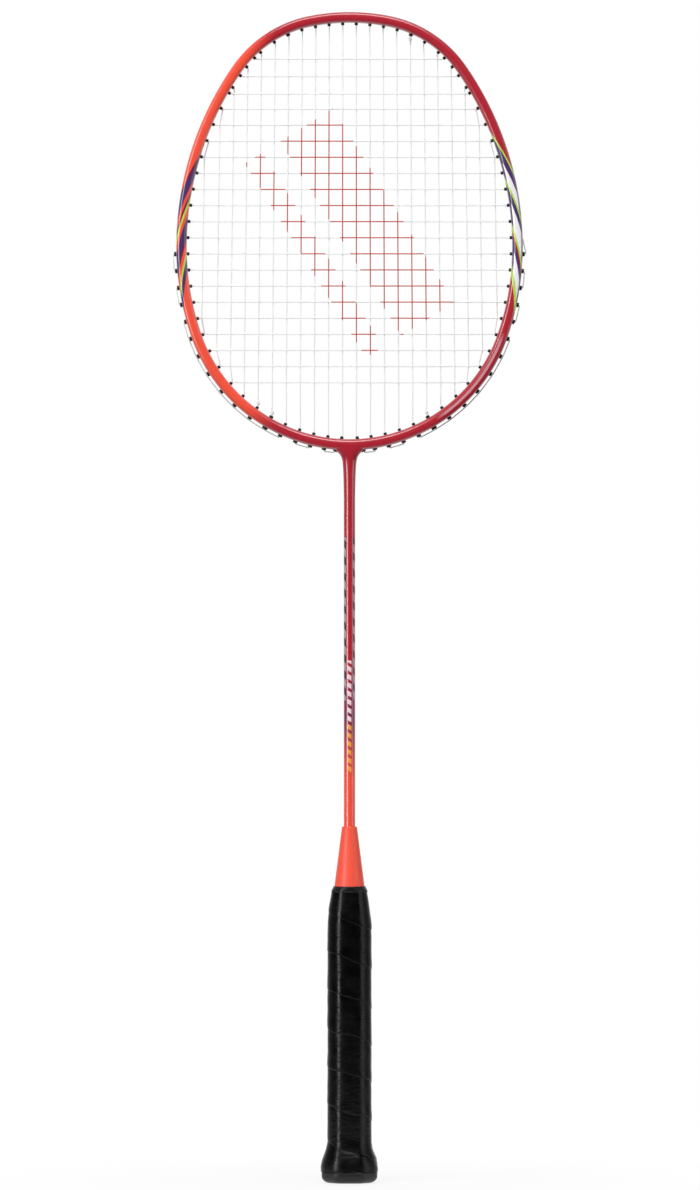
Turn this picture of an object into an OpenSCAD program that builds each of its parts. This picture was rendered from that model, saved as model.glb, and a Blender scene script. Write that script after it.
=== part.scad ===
// Badminton racket: strung oval head, throat and shaft, cone, wound eight-sided grip and butt cap.
// Stands on its butt at the origin, the shaft runs up +Z, the face of the head looks along -Y.

/* [Head outline] */
// Overall width of the head
head_w = 200; // [194:1:206]
// Rise from the widest line to the top of the head
head_rise = 135.5; // [132:0.5:139]
// Drop from the widest line to the bottom of the head
head_drop = 117; // [113:0.5:120]
// Outer radius of the top arc
top_r = 118; // [112:1:124]
// Outer radius of the shoulders
shoulder_r = 70; // [66:0.5:74]
// Outer radius of the sides above the widest line
side_r = 183; // [176:1:190]
// Outer radius of the sides below the widest line
lower_side_r = 160; // [155:1:168]

/* [Frame tube] */
// Width of the frame tube, seen from the front
frame_w = 5.6; // [5.4:0.1:6.4]
// Depth of the frame tube, front to back
frame_d = 10.4; // [9.6:0.1:12]
// Wall of the frame tube
frame_wall = 0.9; // [0.7:0.05:1.1]
// Width of the tube's rounded edges, seen from the front
edge_round = 1.8; // [1.4:0.1:2.2]
// Flat land on each side of the string groove
groove_land = 0.4; // [0.3:0.05:0.6]
// Width of the string groove round the upper half
groove_w = 3.8; // [3.6:0.1:4.4]
// Depth of the string groove
groove_depth = 1.5; // [1.3:0.1:1.8]

/* [Throat and shaft] */
// Length of the neck below the hoop
neck_len = 28.5; // [20:0.5:40]
// Swell of the neck's radius where it meets the hoop
neck_swell = 2; // [0.8:0.1:2.6]
// Half the length of the web that carries the hoop on the neck
web_reach = 11.5; // [9:0.5:16]
// Depth of the web below the hoop, at the neck
web_drop = 4.5; // [3:0.5:6]
// Depth of the web, front to back
web_d = 8; // [6.5:0.1:9]
// Outer diameter of the shaft
shaft_d = 6.6; // [6:0.1:7.4]
// Bore of the shaft
shaft_bore = 4.4; // [3.6:0.1:4.8]
// Length of the shaft in view, between the cone and the neck
shaft_len = 188.7; // [160:0.1:220]
// Length of the shaft inside the handle
shaft_seat = 110; // [60:1:140]
// Length of the joint's leg inside the shaft
leg_seat = 30; // [15:1:60]
// Half the length of the joint's arms inside the hoop
arm_reach = 17; // [15:0.5:22]

/* [Strings] */
// Width of the string, flat to flat
string_w = 0.56; // [0.5:0.02:0.6]
// Distance of the outermost main from the side of the head, at the widest line
side_margin = 15.5; // [15.2:0.1:16.4]
// Step between the two outermost mains, at the widest line
outer_main_step = 8.73; // [8.4:0.01:9]
// Angle between neighbouring mains, which fan out a little downwards
main_fan = 0.089; // [0.06:0.001:0.12]
// Distance of the top cross from the top of the head
top_margin = 27.1; // [26.5:0.1:27.7]
// Spacing of the crosses in the upper group
upper_cross_pitch = 10.05; // [9.9:0.05:10.1]
// Step from the upper group to the long group of crosses
group_step = 8.7; // [8.5:0.05:9]
// Distance of the lowest cross from the bottom of the head
bottom_margin = 38.84; // [38:0.02:40]
// Rise and fall of each string where it passes over and under
weave = 0.34; // [0.32:0.01:0.4]
// Distance of each string from the middle plane in the grommets and the outer runs
lane = 0.34; // [0.32:0.01:0.36]
// Distance of the mains' tails from the middle plane
tail_lane = 1.5; // [1.4:0.05:1.6]
// Radius of a knot
knot_r = 1.2; // [1.1:0.05:1.4]

/* [Grommets] */
// Outer diameter of a grommet's barrel
barrel_d = 1.9; // [1.85:0.05:2.1]
// Bore of a grommet
grommet_bore = 1.5; // [1.48:0.02:1.56]
// Diameter of a grommet's head
grommet_head_d = 2.7; // [2.6:0.05:2.8]
// Outer diameter of a tie-off barrel
tie_barrel_d = 2.4; // [2.3:0.05:2.6]
// Bore of a tie-off grommet
tie_bore = 1.8; // [1.7:0.05:1.9]
// Diameter of a tie-off grommet's head
tie_head_d = 3.4; // [3.3:0.05:3.5]
// Reach of the barrels past the inside of the hoop
barrel_reach = 2; // [1.6:0.1:2.4]
// Thickness of the heads that lie in the groove
groove_head_t = 0.7; // [0.5:0.05:0.8]
// Thickness of the heads that stand on the lower half
proud_head_t = 1.5; // [1.2:0.1:1.8]
// Depth of the flat seats under the heads of the lower half
seat_depth = 0.3; // [0.2:0.05:0.4]
// Least distance between a main's hole and its neighbours
hole_gap = 3.5; // [3.2:0.1:4]
// Extra tilt of the hole next to the throat
throat_splay = 24; // [16:1:26]

/* [Cone] */
// Height of the cone above the finishing tape
cone_h = 34.4; // [28:0.2:44]
// Diameter of the cone at its base
cone_d = 17.4; // [16.4:0.2:18]
// Diameter of the cone below its rounded top
cone_top_d = 9; // [8.6:0.1:10]
// Height of the rounded top
cone_round = 1.6; // [1:0.1:3]
// Length of the core's tenon inside the cone
tenon_len = 13; // [8:0.5:18]
// Diameter of the core's tenon
tenon_d = 12.6; // [11:0.1:13]

/* [Handle] */
// Width of the wound grip
grip_w = 25.5; // [24.5:0.1:28]
// Depth of the wound grip, front to back
grip_d = 23; // [22:0.1:26]
// Bevel between the grip's flat sides
grip_bevel = 6.3; // [5.5:0.1:7]
// Length of the wound grip
grip_len = 161; // [140:1:180]
// Length of the slope at the top of the grip
slope_len = 18.6; // [12:0.2:26]
// Width of the grip at its top edge
slope_w = 20.5; // [20:0.1:21]
// Length of the flare above the butt cap
flare_len = 15.4; // [10:0.2:24]
// Width of the flare at the butt cap
flare_w = 32.9; // [30:0.1:35]
// Thickness of the grip tape
tape_t = 1.6; // [1:0.1:2]
// Spacing of the turns of grip tape
tape_pitch = 22; // [18:0.5:28]
// Gap between the turns of grip tape
tape_gap = 0.5; // [0.45:0.05:0.8]
// Height of the finishing tape
band_h = 3.4; // [2:0.2:6]
// Wall of the finishing tape at its top edge
band_wall = 0.5; // [0.4:0.05:0.8]

/* [Butt cap] */
// Height of the butt cap
cap_h = 6.4; // [5.4:0.1:9]
// Width of the butt cap
cap_w = 32.2; // [30:0.1:34]
// Thickness of the cap's floor
cap_floor = 2.6; // [1.6:0.1:3.4]
// Wall of the cap round the core
cap_wall = 1.8; // [1.2:0.1:2.4]
// Height of the cap's rounded lower edge
cap_round_h = 4; // [2:0.1:4.8]
// Inset of the cap's rounded lower edge
cap_round_w = 5; // [2:0.1:6]

/* [Hidden] */
$fn = 48;

// Clearance between pieces that slide together
fit = 0.1;
// Small overlap that lets a cut run clear of a face
over = 1;
// Overlap and step that let neighbouring arcs of the hoop grow together
splice_len = 0.6;
splice_step = 0.01;

// Heights, from the butt upwards
grip_z = cap_h + fit;
flare_z = grip_z + flare_len;
grip_top = grip_z + grip_len;
slope_z = grip_top - slope_len;
band_top = grip_top + band_h;
cone_top = band_top + cone_h;
neck_z = cone_top + shaft_len;
hoop_z = neck_z + neck_len;
wide_z = hoop_z + head_drop;

// Head outline: arcs that meet in tangents, measured from the middle of the widest line
half_w = head_w / 2;
top_c = [0, head_rise - top_r];
side_c = [half_w - side_r, 0];
lower_c = [half_w - lower_side_r, 0];
bottom_r = (2 * half_w * lower_side_r - half_w * half_w - head_drop * head_drop)
    / (2 * (lower_side_r - head_drop));
bottom_c = [0, bottom_r - head_drop];
shoulder_c = inner_tangent(top_c, top_r - shoulder_r, side_c, side_r - shoulder_r);

// Directions in which one arc hands over to the next
top_end = heading(shoulder_c - top_c);
shoulder_end = heading(shoulder_c - side_c);
lower_end = heading(bottom_c - lower_c);

function heading(v) = atan2(v.y, v.x);
function ray(length, angle) = length * [cos(angle), sin(angle)];
function flip(list) = [for (i = [len(list) - 1 : -1 : 0]) list[i]];
function joined(lists) = [for (list = lists, item = list) item];

// Centre of the circle that lies inside two others, on the outer side of the line between them
function inner_tangent(p, p_r, q, q_r) =
    let (
        gap = norm(q - p),
        unit = (q - p) / gap,
        along = (p_r * p_r - q_r * q_r + gap * gap) / (2 * gap),
        off = sqrt(p_r * p_r - along * along)
    )
    p + along * unit + off * [unit.y, -unit.x];

// Arc of the right half that faces the direction phi, as centre and outer radius
function arc_c(phi) =
    phi >= top_end ? top_c :
    phi >= shoulder_end ? shoulder_c :
    phi >= 0 ? side_c :
    phi >= lower_end ? lower_c : bottom_c;
function arc_r(phi) =
    phi >= top_end ? top_r :
    phi >= shoulder_end ? shoulder_r :
    phi >= 0 ? side_r :
    phi >= lower_end ? lower_side_r : bottom_r;

// Point of the hoop that faces phi, at a depth inside the outer face
function hoop_point(phi, depth) = arc_c(phi) + ray(arc_r(phi) - depth, phi);

// Direction that the hoop faces at a height, or over and under a distance from the middle
function phi_at_height(z, depth) =
    let (
        mark = z > hoop_point(top_end, depth).y ? 90 :
            z > hoop_point(shoulder_end, depth).y ? shoulder_end :
            z > 0 ? 0 :
            z > hoop_point(lower_end, depth).y ? lower_end : -90
    )
    asin((z - arc_c(mark).y) / (arc_r(mark) - depth));
function phi_above(x, depth) =
    let (
        mark = x < hoop_point(top_end, depth).x ? 90 :
            x < hoop_point(shoulder_end, depth).x ? shoulder_end : 0
    )
    acos((x - arc_c(mark).x) / (arc_r(mark) - depth));
function phi_below(x, depth) =
    let (mark = x < hoop_point(lower_end, depth).x ? -90 : lower_end)
    -acos((x - arc_c(mark).x) / (arc_r(mark) - depth));

// String pattern of one half: mains from the middle outwards, crosses from the top down
mains = 11;
crosses = 21;
upper_crosses = 3;
// Mains that have holes of their own, and the crosses whose holes the others share, in order outwards
own_above = 9;
shared_above = [4, 6];
own_below = 8;
shared_below = [21, 20, 18];
// Mains with tie-off grommets above and below, and the main where the crosses' last tail is tied
tie_above = 5;
tie_below = 6;
tie_cross = 7;

edge_main = half_w - side_margin;
main_pitch = (edge_main - outer_main_step) / (mains - 1.5);
top_cross = head_rise - top_margin;
long_cross = top_cross - (upper_crosses - 1) * upper_cross_pitch - group_step;
cross_pitch = (long_cross + head_drop - bottom_margin) / (crosses - upper_crosses - 1);
function main_x(i, z) =
    (i < mains ? i - 0.5 : edge_main / main_pitch) * (main_pitch - z * tan(main_fan));
// Height at which a main reaches the tips of the barrels, found from a first guess
function reach_above(i, z, rounds) = rounds <= 0 ? z :
    reach_above(i, hoop_point(phi_above(main_x(i, z), tip_depth), tip_depth).y, rounds - 1);
function reach_below(i, z, rounds) = rounds <= 0 ? z :
    reach_below(i, hoop_point(phi_below(main_x(i, z), tip_depth), tip_depth).y, rounds - 1);
reach_rounds = 6;
function cross_z(j) = j <= upper_crosses
    ? top_cross - (j - 1) * upper_cross_pitch
    : long_cross - (j - upper_crosses - 1) * cross_pitch;

// A hole of the right half: [tip of its barrel, direction outwards, length to the head's seat,
// thickness of the head, direction the hoop faces there]
tip_depth = frame_w + barrel_reach;
// Share of a tilted head's rise that its seat is lifted by, and what is left of the splay from hole to hole
seat_lift = 0.5;
splay_fade = 0.4;
function hole(phi, splay = 0) =
    let (
        grooved = phi > 0,
        tip = hoop_point(phi, tip_depth),
        rise = seat_lift * grommet_head_d / 2 * sin(splay),
        seat_r = arc_r(phi) - (grooved ? groove_depth : seat_depth - rise),
        reach = along_ray(tip - arc_c(phi), phi + splay, seat_r)
    )
    [tip, phi + splay, reach, grooved ? groove_head_t : proud_head_t, phi];
function along_ray(from, angle, radius) =
    let (dot = from * ray(1, angle))
    sqrt(dot * dot - from * from + radius * radius) - dot;

// The holes fan out next to the throat, less with each hole
function splay_of(i) = throat_splay * pow(splay_fade, i - 1);
function main_phi_above(i) = phi_above(main_x(i, reach_above(i, top_cross, reach_rounds)), tip_depth);
function main_phi_below(i) = phi_below(main_x(i, reach_below(i, -top_cross, reach_rounds)), tip_depth);
function cross_phi(j) = phi_at_height(cross_z(j), tip_depth);
// The outer mains' holes lie between those of the upper crosses and keep a least distance from them
function hole_room(phi) = hole_gap / (arc_r(phi) - tip_depth) * 180 / PI;
function between(phi, low, high) = high < low ? (low + high) / 2 : max(low, min(high, phi));
function own_phi_above(i) =
    let (phi = main_phi_above(i), room = hole_room(phi), k = i - own_above + upper_crosses)
    k < 1 ? phi : between(phi, cross_phi(k) + room, k > 1 ? cross_phi(k - 1) - room : 90);
function own_phi_below(i) =
    let (phi = main_phi_below(i))
    i < own_below ? phi : min(phi, cross_phi(crosses) - hole_room(phi));
function own_hole_above(i) = hole(own_phi_above(i));
function own_hole_below(i) = hole(own_phi_below(i), splay_of(i));
function cross_hole(j) = hole(cross_phi(j));
function hole_above(i) = i <= own_above ? own_hole_above(i) : cross_hole(shared_above[i - own_above - 1]);
function hole_below(i) = i <= own_below ? own_hole_below(i) : cross_hole(shared_below[i - own_below - 1]);

function listed(value, list) = len([for (item = list) if (item == value) item]) > 0;
function is_shared(j) = listed(j, shared_above) || listed(j, shared_below);

upper_holes = [for (i = [1 : own_above]) if (i != tie_above) own_hole_above(i)];
lower_holes = [for (i = [1 : own_below]) if (i != tie_below) own_hole_below(i)];
cross_holes = [for (j = [1 : crosses]) if (!is_shared(j)) cross_hole(j)];
shared_holes = [for (j = [1 : crosses]) if (is_shared(j)) cross_hole(j)];
tie_holes = [own_hole_above(tie_above), own_hole_below(tie_below)];

// The head lies in the drawing plane and is then stood up on the shaft
module head_frame() {
    translate([0, 0, wide_z])
        rotate([90, 0, 0])
            children();
}

module both_sides() {
    children();
    mirror([1, 0, 0]) children();
}

// Puts a shape that points up +Z on the axis of a hole, with its origin on the seat of the head
module at_seat(h) {
    place = h[0] + ray(h[2], h[1]);
    translate([place.x, place.y, 0])
        rotate([0, 0, h[1]])
            rotate([0, 90, 0])
                children();
}

// Outline with flat faces and elliptical corners, between two depths of the frame tube
corner_steps = 5;
function tube_outline(near, far, half_d, corner_w, corner_d) = [
    for (quarter = [0 : 3], step = [0 : corner_steps])
        let (
            angle = (quarter + step / corner_steps) * 90,
            side = quarter == 0 || quarter == 3 ? -near - corner_w : -far + corner_w,
            face = quarter < 2 ? half_d - corner_d : corner_d - half_d
        )
        [side + corner_w * cos(angle), face + corner_d * sin(angle)]
];

// Section of the frame tube, measured from its outer face, grown a little where arcs overlap
edge_depth = (frame_d - groove_w) / 2 - groove_land;
// Share of the bore's width that each of its rounded corners takes
bore_round = 0.4;
module tube_section(grooved, grow) {
    roof = (grooved ? groove_depth : 0) + frame_wall;
    floor = frame_w - frame_wall;
    difference() {
        polygon(tube_outline(-grow, frame_w + grow, frame_d / 2 + grow, edge_round, edge_depth));
        polygon(tube_outline(roof + grow, floor - grow, frame_d / 2 - frame_wall - grow,
            bore_round * (floor - roof), edge_depth - frame_wall));
        if (grooved)
            translate([-groove_depth + grow, -groove_w / 2])
                square([groove_depth + over, groove_w]);
    }
}

// One arc of the hoop, between two directions
module hoop_arc(centre, radius, from, to, grooved, grow) {
    splice = grow > 0 ? splice_len / radius * 180 / PI : 0;
    translate([centre.x, centre.y, 0])
        rotate_extrude(start = from - splice, angle = to - from + 2 * splice)
            translate([radius, 0])
                tube_section(grooved, grow);
}

module hoop_tube() {
    hoop_arc(top_c, top_r, top_end, 180 - top_end, true, 0);
    both_sides() {
        hoop_arc(shoulder_c, shoulder_r, shoulder_end, top_end, true, splice_step);
        hoop_arc(side_c, side_r, 0, shoulder_end, true, 0);
        hoop_arc(lower_c, lower_side_r, lower_end, 0, false, splice_step);
    }
    hoop_arc(bottom_c, bottom_r, 180 - lower_end, 360 + lower_end, false, 0);
}

// Radius of the neck at a height above the shaft: it swells towards the hoop, most over the last stretch
neck_fade = 9;
neck_steps = 8;
function neck_radius(h) =
    shaft_d / 2 + neck_swell * (exp((h - neck_len) / neck_fade) - exp(-neck_len / neck_fade));

// Web under the hoop: its upper edge lies inside the tube's wall, its sides curve from the hoop to the neck
web_steps = 6;
function web_curve(from, via, to) = [for (step = [0 : web_steps])
    let (t = step / web_steps)
    (1 - t) * (1 - t) * from + 2 * t * (1 - t) * via + t * t * to];
module throat_web() {
    edge_r = bottom_r - frame_wall / 2;
    corner = bottom_c + ray(bottom_r, -90 + asin(web_reach / bottom_r));
    crown = -head_drop + web_drop + over;
    pivot = [neck_radius(neck_len), -head_drop - web_drop / 3];
    root = [neck_radius(neck_len - web_drop), -head_drop - web_drop];
    side = concat([[corner.x, crown]], web_curve(corner, pivot, root));
    linear_extrude(web_d, center = true)
        difference() {
            polygon(concat(side, [for (p = flip(side)) [-p.x, p.y]]));
            translate(bottom_c) circle(edge_r, $fn = 180);
        }
}

module neck() {
    top = neck_len + frame_wall / 2;
    translate([0, 0, neck_z])
        rotate_extrude()
            polygon(concat(
                [[0, top], [0, 0]],
                [for (step = [0 : neck_steps])
                    let (h = neck_len * step / neck_steps)
                    [neck_radius(h), h]],
                [[neck_radius(neck_len), top]]));
}

// Drilled hole with a flat seat for the head
module hole_cut(h, barrel, head) {
    at_seat(h) {
        translate([0, 0, -h[2] - over])
            cylinder(h = h[2] + 2 * over, d = barrel + 2 * fit);
        cylinder(h = proud_head_t + over, d = head + 2 * fit);
    }
}

module all_hole_cuts() {
    both_sides() {
        for (h = concat(upper_holes, lower_holes, cross_holes, shared_holes))
            hole_cut(h, barrel_d, grommet_head_d);
        for (h = tie_holes)
            hole_cut(h, tie_barrel_d, tie_head_d);
    }
}

// Channel through the web for the run between the two holes next to the neck
channel_gap = 0.3;
module run_channel() {
    ends = [for (i = [1, 2]) mouth_point(own_hole_below(i), 0)];
    rise = [0, string_w / 2 + channel_gap];
    fall = [0, -web_drop - proud_head_t];
    both_sides()
        linear_extrude(2 * lane + string_w + 2 * channel_gap, center = true)
            polygon([for (end = ends) [end.x, end.y] + rise, for (end = flip(ends)) [end.x, end.y] + fall]);
}

module leg_bore() {
    translate([0, 0, neck_z - over])
        cylinder(h = neck_len + over + frame_wall + over, d = shaft_bore);
}

// Hollow carbon frame: hoop, web and neck in one moulding
module frame_hoop() {
    color("crimson")
        difference() {
            union() {
                head_frame() {
                    hoop_tube();
                    throat_web();
                }
                neck();
            }
            head_frame() {
                all_hole_cuts();
                run_channel();
            }
            leg_bore();
        }
}

// Joint inside the throat: arms that follow the hoop and a leg that reaches into the shaft
module t_joint() {
    leg_d = shaft_bore - 2 * fit;
    sweep = asin(arm_reach / bottom_r);
    color("dimgray")
        difference() {
            union() {
                head_frame()
                    translate([bottom_c.x, bottom_c.y, 0])
                        rotate_extrude(start = -90 - sweep, angle = 2 * sweep)
                            translate([bottom_r, 0])
                                polygon(tube_outline(frame_wall + fit, frame_w - frame_wall - fit,
                                    frame_d / 2 - frame_wall - 2 * fit,
                                    bore_round * (frame_w - 2 * frame_wall) - fit, edge_depth - frame_wall));
                translate([0, 0, neck_z - leg_seat])
                    cylinder(h = leg_seat + neck_len + frame_w / 2, d = leg_d);
            }
            head_frame() all_hole_cuts();
        }
}

// Shaft tube, from the bottom of its bore in the handle to the end face of the neck
shaft_z = grip_top - shaft_seat;
module shaft() {
    color("firebrick")
        translate([0, 0, shaft_z])
            difference() {
                cylinder(h = neck_z - shaft_z, d = shaft_d);
                translate([0, 0, -over])
                    cylinder(h = neck_z - shaft_z + 2 * over, d = shaft_bore);
            }
}

// Cone, hollow below for the tenon of the core and bored for the shaft
cone_steps = 4;
module cone() {
    shaft_hole = shaft_d / 2 + fit;
    lip = shaft_hole + (cone_top_d / 2 - shaft_hole) / 2;
    socket = tenon_d / 2 + fit;
    roof = grip_top + tenon_len + fit;
    color("orangered")
        rotate_extrude()
            polygon(concat(
                [[socket, roof], [socket, grip_top], [cone_d / 2, grip_top], [cone_d / 2, band_top]],
                [for (step = [0 : cone_steps])
                    let (angle = 90 * step / cone_steps)
                    [lip + (cone_top_d / 2 - lip) * cos(angle), cone_top - cone_round * (1 - sin(angle))]],
                [[shaft_hole, cone_top], [shaft_hole, roof]]));
}

// Eight-sided outline with equal bevels, and the same outline set in by a wall
function eight_sides(w, d, bevel) = [
    [w / 2, d / 2 - bevel], [w / 2, bevel - d / 2], [w / 2 - bevel, -d / 2], [bevel - w / 2, -d / 2],
    [-w / 2, bevel - d / 2], [-w / 2, d / 2 - bevel], [bevel - w / 2, d / 2], [w / 2 - bevel, d / 2]];
bevel_inset = 2 - sqrt(2);
glue_gap = 0.2;
function grip_outline(w, inset) = eight_sides(w - 2 * inset, w - grip_w + grip_d - 2 * inset,
    grip_bevel + (w - grip_w) * grip_bevel / grip_w - bevel_inset * inset);

// Width of the wound grip at a height: flare, straight handle, slope
function grip_width(z) =
    z < flare_z ? grip_w + (flare_w - grip_w) * (flare_z - z) / flare_len :
    z > slope_z ? grip_w + (slope_w - grip_w) * (z - slope_z) / slope_len : grip_w;

// Loft between thin slices at two heights of the handle
slice = 0.02;
module core_loft(from, to) {
    inset = tape_t + glue_gap;
    hull() {
        translate([0, 0, from])
            linear_extrude(slice) polygon(grip_outline(grip_width(from), inset));
        translate([0, 0, to - slice])
            linear_extrude(slice) polygon(grip_outline(grip_width(to), inset));
    }
}

// Wooden handle, flared at the butt, with a tenon for the cone and a bore for the shaft
module handle_core() {
    inset = tape_t + glue_gap;
    color("burlywood")
        difference() {
            union() {
                translate([0, 0, cap_floor])
                    linear_extrude(grip_z - cap_floor) polygon(grip_outline(cap_w, cap_wall + fit));
                core_loft(grip_z, flare_z);
                translate([0, 0, flare_z])
                    linear_extrude(slope_z - flare_z) polygon(grip_outline(grip_w, inset));
                core_loft(slope_z, grip_top);
                translate([0, 0, grip_top])
                    cylinder(h = tenon_len, d = tenon_d);
            }
            translate([0, 0, shaft_z])
                cylinder(h = grip_top + tenon_len + over - shaft_z, d = shaft_d + 2 * fit);
        }
}

// End cap with a rounded lower edge, which holds the end of the core
cap_steps = 4;
module butt_cap() {
    color("black")
        difference() {
            hull() {
                for (step = [0 : cap_steps]) {
                    angle = 90 * step / cap_steps;
                    width = cap_w - 2 * cap_round_w * (1 - sin(angle));
                    translate([0, 0, cap_round_h * (1 - cos(angle))])
                        linear_extrude(slice) polygon(grip_outline(width, 0));
                }
                translate([0, 0, cap_h - slice])
                    linear_extrude(slice) polygon(grip_outline(cap_w, 0));
            }
            translate([0, 0, cap_floor])
                linear_extrude(cap_h) polygon(grip_outline(cap_w, cap_wall));
        }
}

// Grip tape: one band that winds up the handle, cut level with the cap below and the finishing tape above
tape_w = tape_pitch - tape_gap;
grip_girth = girth(grip_outline(grip_w, 0), 8);
function girth(outline, corners) = corners == 0 ? 0 :
    girth(outline, corners - 1) + norm(outline[corners % 8] - outline[corners - 1]);
function tape_low(k) =
    let (outline = grip_outline(grip_w, 0))
    grip_z - tape_w + tape_pitch * (floor(k / 8) + girth(outline, k % 8) / grip_girth);
// Height at which the band starts and ends, and the least distance of its fold from its edges
tape_start = 4;
tape_fold = 1;
tape_rings = [for (k = [0 : 8 * ceil((grip_len + tape_w) / tape_pitch)])
    let (low = max(tape_low(k), grip_z), high = min(tape_low(k) + tape_w, grip_top))
    if (high - low > tape_start) [k, low, high]];
function tape_bend(low, high) =
    let (bend = low + high < flare_z + slope_z ? flare_z : slope_z)
    max(low + tape_fold, min(high - tape_fold, bend));
function tape_corner(k, z, inset) =
    let (p = grip_outline(grip_width(z), inset)[k % 8])
    [p.x, p.y, z];
tape_points = [for (ring = tape_rings)
    let (heights = [ring[1], tape_bend(ring[1], ring[2]), ring[2]])
    [for (z = heights) tape_corner(ring[0], z, 0), for (z = flip(heights)) tape_corner(ring[0], z, tape_t)]];
tape_least = min([for (k = [0 : len(tape_points) - 9]) norm(tape_points[k + 8][0] - tape_points[k][2])]);
echo(grip_wrap_least_gap = tape_least);

module grip_wrap() {
    color("#202020") tube_of(tape_points);
}

// Closed tube through rings of points, all of the same count
module tube_of(rings) {
    sides = len(rings[0]);
    last = (len(rings) - 1) * sides;
    polyhedron(
        points = joined(rings),
        faces = concat(
            [for (s = [1 : sides - 2]) [0, s, s + 1]],
            [for (s = [1 : sides - 2]) [last, last + s + 1, last + s]],
            [for (r = [0 : len(rings) - 2], s = [0 : sides - 1])
                let (a = r * sides + s, b = r * sides + (s + 1) % sides)
                each [[a, a + sides, b], [b, a + sides, b + sides]]]));
}

// Band that holds the grip's top edge against the cone
module finishing_tape() {
    inner = cone_d / 2 + fit;
    color("#303030")
        rotate_extrude()
            polygon([[inner, grip_top + fit], [slope_w / 2, grip_top + fit],
                [inner + band_wall, band_top], [inner, band_top]]);
}

// Grommet: barrel with a flanged head on its seat, both with a small bevelled edge
edge = 0.25;
module grommet(h, barrel, bore, head) {
    at_seat(h)
        rotate_extrude($fn = 24)
            polygon([
                [bore / 2, -h[2]], [barrel / 2 - edge / 2, -h[2]], [barrel / 2, -h[2] + edge],
                [barrel / 2, 0], [head / 2, 0], [head / 2, h[3] - edge],
                [head / 2 - edge, h[3]], [bore / 2, h[3]]]);
}

module grommets(holes) {
    color("black")
        head_frame()
            for (h = holes)
                grommet(h, barrel_d, grommet_bore, grommet_head_d);
}

module upper_main_grommets() {
    grommets(upper_holes);
    mirror([1, 0, 0]) grommets(upper_holes);
}

module lower_main_grommets() {
    grommets(lower_holes);
    mirror([1, 0, 0]) grommets(lower_holes);
}

module right_cross_grommets() {
    grommets(cross_holes);
}

module left_cross_grommets() {
    mirror([1, 0, 0]) grommets(cross_holes);
}

module right_shared_grommets() {
    grommets(shared_holes);
}

module left_shared_grommets() {
    mirror([1, 0, 0]) grommets(shared_holes);
}

module tie_off_grommets() {
    color("black")
        head_frame()
            both_sides()
                for (h = tie_holes)
                    grommet(h, tie_barrel_d, tie_bore, tie_head_d);
}

// Points of a string: [distance from the middle, height above the widest line, distance to the front]
run_gap = 0.15;
entry_gap = 0.35;
string_lift = string_w / 2 + run_gap;
function tip_point(h, front) =
    let (p = h[0] - ray(entry_gap, h[1]))
    [p.x, p.y, front];
function mouth_point(h, front) =
    let (p = h[0] + ray(h[2] + h[3] + string_lift, h[1]))
    [p.x, p.y, front];
// Point over the edge of a head, on the side that a run comes from
function edge_point(h, front, turn) =
    let (p = mouth_point(h, front), off = ray(grommet_head_d / 2 + run_gap, h[1] + turn))
    p + [off.x, off.y, 0];

// Points of a run outside the hoop between two holes of one half, over the heads between its ends
function from_top(holes) = len(holes) < 2 ? holes :
    let (mark = holes[0][4])
    concat(
        from_top([for (h = holes) if (h[4] > mark) h]),
        [for (h = holes) if (h[4] == mark) h],
        from_top([for (h = holes) if (h[4] < mark) h]));
hoop_holes = from_top(concat(upper_holes, lower_holes, cross_holes, shared_holes, tie_holes));
function run(from, to, front) =
    let (
        low = min(from[4], to[4]),
        high = max(from[4], to[4]),
        passed = [for (h = hoop_holes) if (low < h[4] && h[4] < high) mouth_point(h, front)]
    )
    from[4] > to[4] ? passed : flip(passed);

// A main and a cross meet where they don't share a hole and the crossing lies inside the barrels
crossing_room = 0.7;
function meets(i, j, room = crossing_room) =
    main_x(i, cross_z(j)) < cross_hole(j)[0].x - room
    && cross_z(j) < hole_above(i)[0].y - room
    && cross_z(j) > hole_below(i)[0].y + room;
// They pass over and under in turn, and next to a barrel each keeps to its own side;
// the left and the right of the head are told apart by -1 and 1
lane_room = 3.4;
function over_under(i, j, side) =
    meets(i, j, lane_room) && ((side > 0 ? i : 1 - i) + j + 2 * mains) % 2 == 0 ? 1 : -1;
function crossing(i, j, front) = [main_x(i, cross_z(j)), cross_z(j), front];
function on_side(points, side) = [for (p = points) [side * p.x, p.y, p.z]];

// One main from its upper mouth to its lower mouth
function main_span(i, side) = concat(
    [mouth_point(hole_above(i), -lane), tip_point(hole_above(i), -lane)],
    [for (j = [1 : crosses]) if (meets(i, j)) crossing(i, j, weave * over_under(i, j, side))],
    [tip_point(hole_below(i), -lane), mouth_point(hole_below(i), -lane)]);
function main_run(i) =
    i == 1 ? [edge_point(hole_below(2), -lane, -90)] :
    i % 2 == 1 ? run(hole_below(i), hole_below(i + 1), -lane) : run(hole_above(i), hole_above(i + 1), -lane);
// Half of the main string, from the middle of the top outwards and on to the tie-off hole
function half_main(side) = on_side(joined([
    for (i = [1 : mains]) each [
        i % 2 == 1 ? main_span(i, side) : flip(main_span(i, side)),
        i < mains ? main_run(i) : []],
    run(hole_below(mains), own_hole_below(tie_below), -tail_lane),
    [mouth_point(own_hole_below(tie_below), lane), tip_point(own_hole_below(tie_below), lane)]]), side);
main_path = concat(flip(half_main(-1)), half_main(1));

// One cross from its left mouth to its right mouth
function half_cross(j, side) = on_side(concat(
    [for (i = [1 : mains]) if (meets(i, j)) crossing(i, j, -weave * over_under(i, j, side))],
    [tip_point(cross_hole(j), lane), mouth_point(cross_hole(j), lane)]), side);
function cross_span(j) = concat(flip(half_cross(j, -1)), half_cross(j, 1));
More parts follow.
